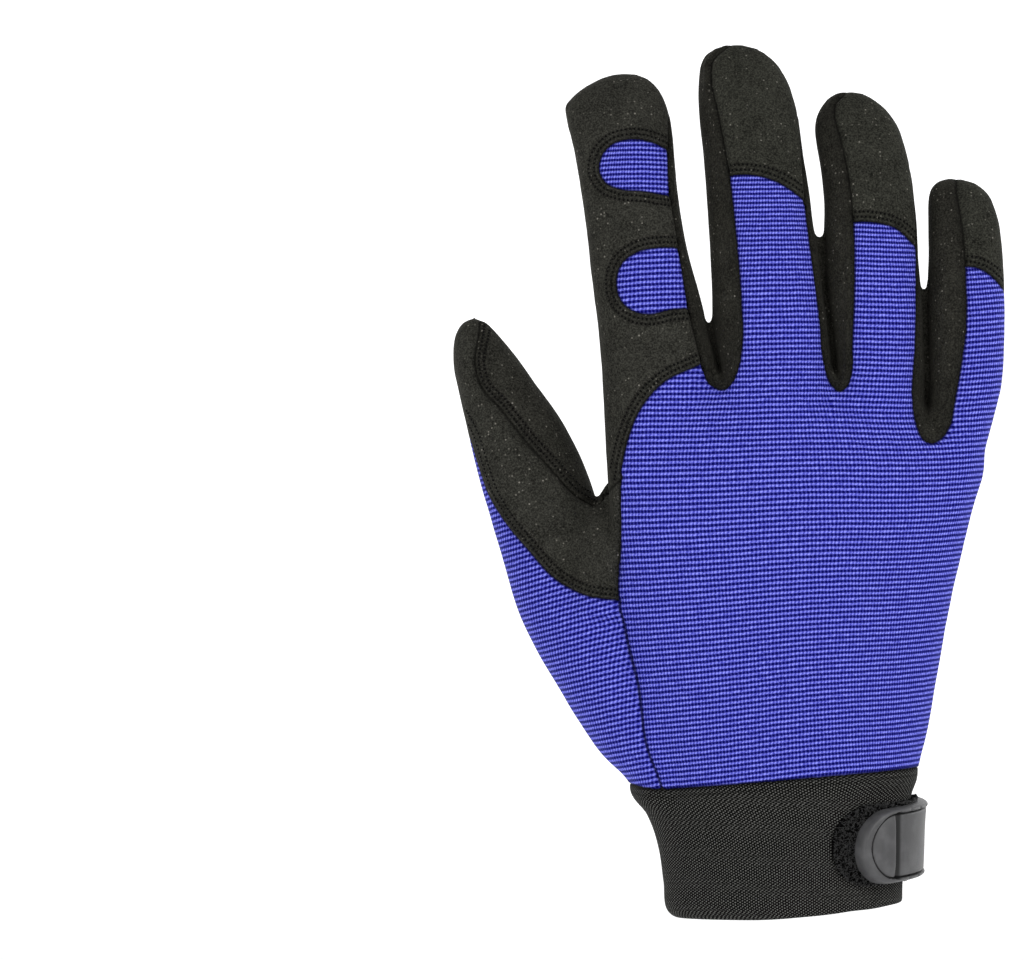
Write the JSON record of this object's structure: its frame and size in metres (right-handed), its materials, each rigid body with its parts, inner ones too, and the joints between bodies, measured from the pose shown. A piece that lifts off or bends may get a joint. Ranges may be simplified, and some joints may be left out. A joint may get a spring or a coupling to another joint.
{
  "type": "work glove",
  "caption": "Right-hand work glove, filled out as worn: ribbed stretch back, padded suede palm, knit cuff with a hook-and-loop tab.",
  "frame": {"origin": "centre of the wrist opening, in the plane of the cuff's rim", "axes": "+Z from the wrist to the fingertips; -Y out of the back of the hand and +Y out of the palm; +X towards the little finger, so the thumb is on the -X side"},
  "size_m": [0.1547, 0.0561, 0.2442],
  "materials": {
    "suede": "matt napped synthetic suede with pale flecks",
    "stretch_knit": "ribbed stretch knit, fine cords across the hand",
    "cuff_knit": "matt elastic rib knit",
    "loop_pile": "fuzzy loop pile",
    "tab_rubber": "satin moulded rubber"
  },
  "bodies": {
    "root": {"palm": "suede", "back": "stretch_knit", "index_back": "suede", "knuckle_window_upper": "stretch_knit", "knuckle_window_lower": "stretch_knit", "cap_middle": "suede", "cap_ring": "suede", "cap_little": "suede", "fourchette_index_middle": "suede", "fourchette_middle_ring": "suede", "fourchette_ring_little": "suede", "thumb_back": "suede", "thumb_outer": "stretch_knit", "knuckle_pad": "suede", "heel_pad": "suede", "cuff": "cuff_knit", "loop_patch": "loop_pile", "strap_tab": "tab_rubber"}
  },
  "joints": []
}
